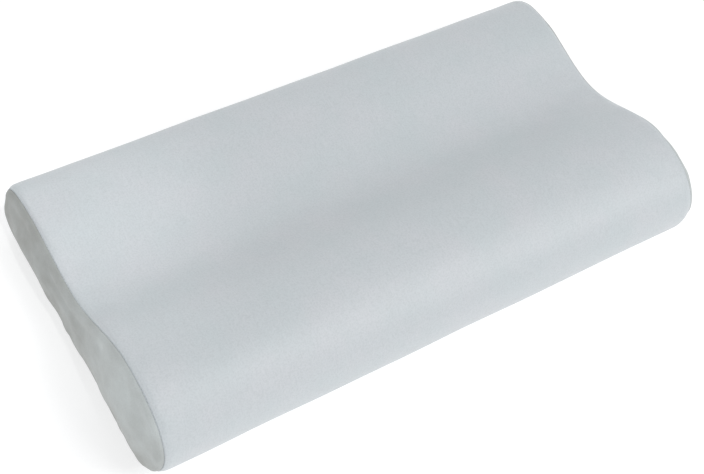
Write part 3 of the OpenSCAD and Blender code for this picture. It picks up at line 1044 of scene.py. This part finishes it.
def make_zip_stitches(name, node, side):
    """A straight line of lockstitch beside the zip."""
    stand_off = 0.12 * MM
    line = [(x, HALF_DEPTH + stand_off, ZIP_Z + side * STITCH_Z)
            for x in (-STRAIGHT_HALF, STRAIGHT_HALF)]
    row = run_tree(line_mesh(name, line, False), STITCHES, {
        "Pitch": STITCH_PITCH, "Stitch Length": 2.6 * MM, "Thread": 0.55 * MM, "Material": THREAD})
    dress(row, THREAD, replaces=[node])


make_tape("tape_upper", "zip_tape_upper", 1)
make_tape("tape_lower", "zip_tape_lower", -1)
make_coil("coil_upper", "zip_coil_upper", 1)
make_coil("coil_lower", "zip_coil_lower", -1)
make_stop("top_stop_upper", "zip_top_stop_upper")
make_stop("top_stop_lower", "zip_top_stop_lower")
make_stop("bottom_stop", "zip_bottom_stop")
make_zip_stitches("edge_stitches_upper", "zip_stitch_upper", 1)
make_zip_stitches("edge_stitches_lower", "zip_stitch_lower", -1)


# ---- the slider and its pull ----

PLATE = 0.9 * MM                # thickness of the slider's two plates
TAIL = 0.16                     # how fast the plates narrow towards the tail
FLANGE_INNER = 2.9 * MM         # from the zip's centre line to a flange
BAIL_HOLE = 0.95 * MM           # radii of the bail's hole and of its outside
BAIL_OUTER = 1.8 * MM
BAIL_HALF = 0.9 * MM            # half the bail's width
ROOM = 0.35 * MM                # between the coils and the plate over them
slider_low, slider_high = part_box("slider_body")
SLIDER_X = (slider_low.x + slider_high.x) / 2
SLIDER_HALF_LENGTH = (slider_high.x - slider_low.x) / 2
SLIDER_HALF_WIDTH = (slider_high.z - slider_low.z) / 2
TOP_PLATE_Y = TAPE_FACE_Y + COIL_HEIGHT + ROOM
HINGE_Y = slider_high.y - BAIL_OUTER


def plate_outline():
    """The slider's plate: full width where the coils part, narrower at its tail."""
    outline = []
    for u, v in rounded_box(SLIDER_HALF_LENGTH, SLIDER_HALF_WIDTH, 1.5 * MM, 8):
        share = (SLIDER_HALF_LENGTH - u) / (2 * SLIDER_HALF_LENGTH)
        outline.append((u, v * (1 - TAIL * max(share - 0.3, 0))))
    return outline


def make_slider():
    """Two plates, a flange along each side, the web between the coils, and the pull's bail."""
    build = bmesh.new()

    def flat(u, v, h):
        return (SLIDER_X + u, h, ZIP_Z + v)

    def upright(u, v, h):
        return (SLIDER_X + u, v, h)

    inside_top = TOP_PLATE_Y + PLATE / 2
    add_plate(build, plate_outline(), TOP_PLATE_Y, TOP_PLATE_Y + PLATE, flat)
    add_plate(build, plate_outline(), slider_low.y, slider_low.y + PLATE, flat)
    middle = (FLANGE_INNER + SLIDER_HALF_WIDTH) / 2
    half = (SLIDER_HALF_WIDTH - FLANGE_INNER) / 2
    side_wall = rounded_box(SLIDER_HALF_LENGTH - 1.5 * MM, half, 0.3 * MM, 4)
    for side in (-1, 1):
        flange = [(u, side * (middle + v)) for u, v in side_wall]
        add_plate(build, flange, TAPE_FACE_Y + ROOM, inside_top, flat)
    web_x = SLIDER_HALF_LENGTH - 2.5 * MM
    web = [(u + web_x, v) for u, v in rounded_box(2 * MM, 0.2 * MM, 0.15 * MM, 4)]
    add_plate(build, web, slider_low.y + PLATE / 2, inside_top, flat)
    count = 48
    hole = circle((0, HINGE_Y), BAIL_HOLE, count)
    bail = []
    for u, v in circle((0, HINGE_Y), BAIL_OUTER, count):
        bail.append((u * (1.25 if v < HINGE_Y else 1.0), max(v, inside_top)))
    add_plate(build, bail, ZIP_Z - BAIL_HALF, ZIP_Z + BAIL_HALF, upright, hole)
    slider = finish_hard("slider", build, 0.14 * MM)
    dress(slider, SLIDER_ENAMEL, body="slider", replaces=["slider_body"])


PULL_ROOT = 2.9 * MM            # from the hinge's axis to the tab's root, its tip and its hole
PULL_TIP = 26 * MM
PULL_HOLE = 23 * MM
PULL_HOLE_RADIUS = 1.4 * MM
PULL_HALF_WIDTH = 3 * MM
PULL_HALF = 0.6 * MM            # half the pull's thickness
PIN_RADIUS = 0.62 * MM
PIN_HALF = 2.2 * MM             # half the length of the bar through the bail
RIM_X = 11.5 * MM               # from the hinge's axis to the middle of the pull's raised rim


def pull_outline(count=48):
    """The pull seen from outside: a waisted tab with a round tip, from its root to its tip."""
    one_side = []
    for t in np.linspace(0, 1, count):
        reach = PULL_ROOT + (PULL_TIP - PULL_ROOT) * t
        width = PULL_HALF_WIDTH * (1 - 0.14 * math.sin(math.pi * min(t / 0.8, 1)) ** 2)
        near_tip = max(0.0, (reach - (PULL_TIP - PULL_HALF_WIDTH)) / PULL_HALF_WIDTH)
        near_root = max(0.0, 1 - (reach - PULL_ROOT) / (0.8 * MM))
        width *= math.sqrt(max(1 - near_tip ** 2, 0)) * (1 - 0.12 * near_root ** 2)
        one_side.append((-reach, width))
    return one_side + [(u, -v) for u, v in reversed(one_side[:-1])]


def make_pull():
    """A tab with a hole, two arms and the bar that turns in the bail, and a raised rim."""
    build = bmesh.new()

    def flat(u, v, h):
        return (SLIDER_X + u, HINGE_Y + h, ZIP_Z + v)

    def upright(u, v, h):
        return (SLIDER_X + u, HINGE_Y + v, h)

    outline = pull_outline()
    turns = [math.atan2(v, u + PULL_HOLE) for u, v in outline]
    hole = [(-PULL_HOLE + PULL_HOLE_RADIUS * math.cos(t), PULL_HOLE_RADIUS * math.sin(t))
            for t in turns]
    add_plate(build, outline, -PULL_HALF, PULL_HALF, flat, hole)
    arm = rounded_box(2.1 * MM, 0.6 * MM, 0.5 * MM, 5)
    for side in (-1, 1):
        placed = [(u - 1.3 * MM, v + side * 1.9 * MM) for u, v in arm]
        add_plate(build, placed, -PULL_HALF, PULL_HALF, flat)
    bar = circle((0, 0), PIN_RADIUS, 24)
    add_plate(build, bar, ZIP_Z - PIN_HALF, ZIP_Z + PIN_HALF, upright)
    rim_out = [(u - RIM_X, v) for u, v in rounded_box(6.6 * MM, 1.7 * MM, 1.2 * MM, 8)]
    rim_in = [(u - RIM_X, v) for u, v in rounded_box(6.1 * MM, 1.2 * MM, 0.8 * MM, 8)]
    add_plate(build, rim_out, PULL_HALF - 0.05 * MM, PULL_HALF + 0.12 * MM, flat, rim_in)
    pull = finish_hard("pull_tab", build, 0.16 * MM)
    dress(pull, SLIDER_ENAMEL, body="pull", replaces=["slider_pull"])


make_slider()
make_pull()


# ---- the blank care label ----

def make_label():
    """A satin tab that hangs from the lower stitches, its free corner lifting a little."""
    low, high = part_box("care_label")
    lower_back = at_distances(OUTLINE, np.linspace(GIRTH - 40 * MM, GIRTH, 200))
    heights = np.linspace(low.z, high.z, 14)
    order = np.argsort(lower_back[:, 1])
    face_y = np.interp(heights, lower_back[order, 1], lower_back[order, 0])
    back = np.column_stack([face_y, heights])
    out = outward(back, False)
    rings = []
    for s in np.linspace(0, 1, 18):
        drop = (high.z - heights) / (high.z - low.z)
        lift = 0.35 * MM + drop ** 2 * (0.5 + 0.9 * s ** 3) * MM
        lift = lift + 0.12 * MM * np.sin(s * 9.0) * drop
        moved = back + lift[:, None] * out
        rings.append(np.column_stack([np.full(len(moved), low.x + (high.x - low.x) * s), moved]))
    label = mesh_from_rings("blank_label", rings, False)
    finish_cloth(label, 0.25 * MM, 1)
    dress(label, LABEL_SATIN, replaces=["care_label"])


make_label()


# ---- the floor, the light and the camera ----

def make_floor():
    """A wide white sheet a hair below the pillow."""
    size = 14.0
    mesh = bpy.data.meshes.new("floor")
    corners = [(-size, -size, 0), (size, -size, 0), (size, size, 0), (-size, size, 0)]
    mesh.from_pydata([(x, y, -0.02 * MM) for x, y, _ in corners], [], [(0, 1, 2, 3)])
    floor = add_object("floor", mesh)
    material, _, _ = new_material("floor_paper", 0.9, Base_Color=(0.52, 0.523, 0.526, 1),
                                  Specular_IOR_Level=0.1,
                                  Emission_Color=(1, 1, 1, 1), Emission_Strength=0.58)
    mesh.materials.append(material)


def add_lamp(name, light, place, target, watts):
    light.energy = watts
    lamp = add_object(name, light)
    lamp.location = place
    lamp.rotation_euler = (Vector(target) - Vector(place)).to_track_quat("-Z", "Y").to_euler()


def soft_light(name, place, target, size, watts):
    light = bpy.data.lights.new(name, "AREA")
    light.shape = "RECTANGLE"
    light.size, light.size_y = size
    add_lamp(name, light, place, target, watts)


def spot_light(name, place, target, width, watts):
    """A narrow beam with soft edges; width is its whole angle in degrees."""
    light = bpy.data.lights.new(name, "SPOT")
    light.spot_size = math.radians(width)
    light.spot_blend = 1.0
    light.shadow_soft_size = 0.03
    add_lamp(name, light, place, target, watts)


def light_the_room():
    """A bright, even room with two soft lights from the front right and small fills."""
    scene = bpy.context.scene
    world = bpy.data.worlds.new("room")
    scene.world = world
    world.use_nodes = True
    background = world.node_tree.nodes["Background"]
    background.inputs["Color"].default_value = (0.98, 0.99, 1.0, 1)
    background.inputs["Strength"].default_value = 0.61
    soft_light("key", (1.9, -2.2, 4.6), (0, 0, 0.05), (2.2, 1.6), 79)
    soft_light("front_key", (2.6, -2.7, 2.4), (0, 0, 0.05), (1.0, 0.8), 28)
    soft_light("back_fill", (0.1, 1.3, 0.9), (0, 0, 0.05), (0.8, 0.5), 2.6)
    soft_light("end_fill", (-0.85, -0.30, 0.24), (-0.3, -0.04, 0.05), (0.35, 0.25), 0.6)
    spot_light("left_spot", (-0.25, -0.3, 1.9), (-0.285, 0.085, 0.09), 12, 18)
    scene.view_settings.view_transform = "Standard"
    scene.view_settings.look = "None"


def place_camera():
    """Looks down on the front and the left end, rolled so that the pillow runs up to the right."""
    turn, rise, roll = (math.radians(a) for a in (-50.93, 55.75, 22.27))
    distance, right_by, up_by = 1.4149, -0.0107, -0.03162
    back = Vector((math.sin(turn) * math.cos(rise), -math.cos(turn) * math.cos(rise),
                   math.sin(rise)))
    level = (-back).cross(Vector((0, 0, 1))).normalized()
    above = level.cross(-back)
    across = level * math.cos(roll) + above * math.sin(roll)
    up = above * math.cos(roll) - level * math.sin(roll)
    place = Vector((0, 0, 0.05)) + back * distance + across * right_by + up * up_by
    camera = bpy.data.cameras.new("camera")
    camera.sensor_width = 36
    camera.lens = 76.7
    camera.clip_start = 0.05
    eye = add_object("camera", camera)
    eye.matrix_world = Matrix((
        (across.x, up.x, back.x, place.x), (across.y, up.y, back.y, place.y),
        (across.z, up.z, back.z, place.z), (0, 0, 0, 1)))
    bpy.context.scene.camera = eye


make_floor()
light_the_room()
place_camera()
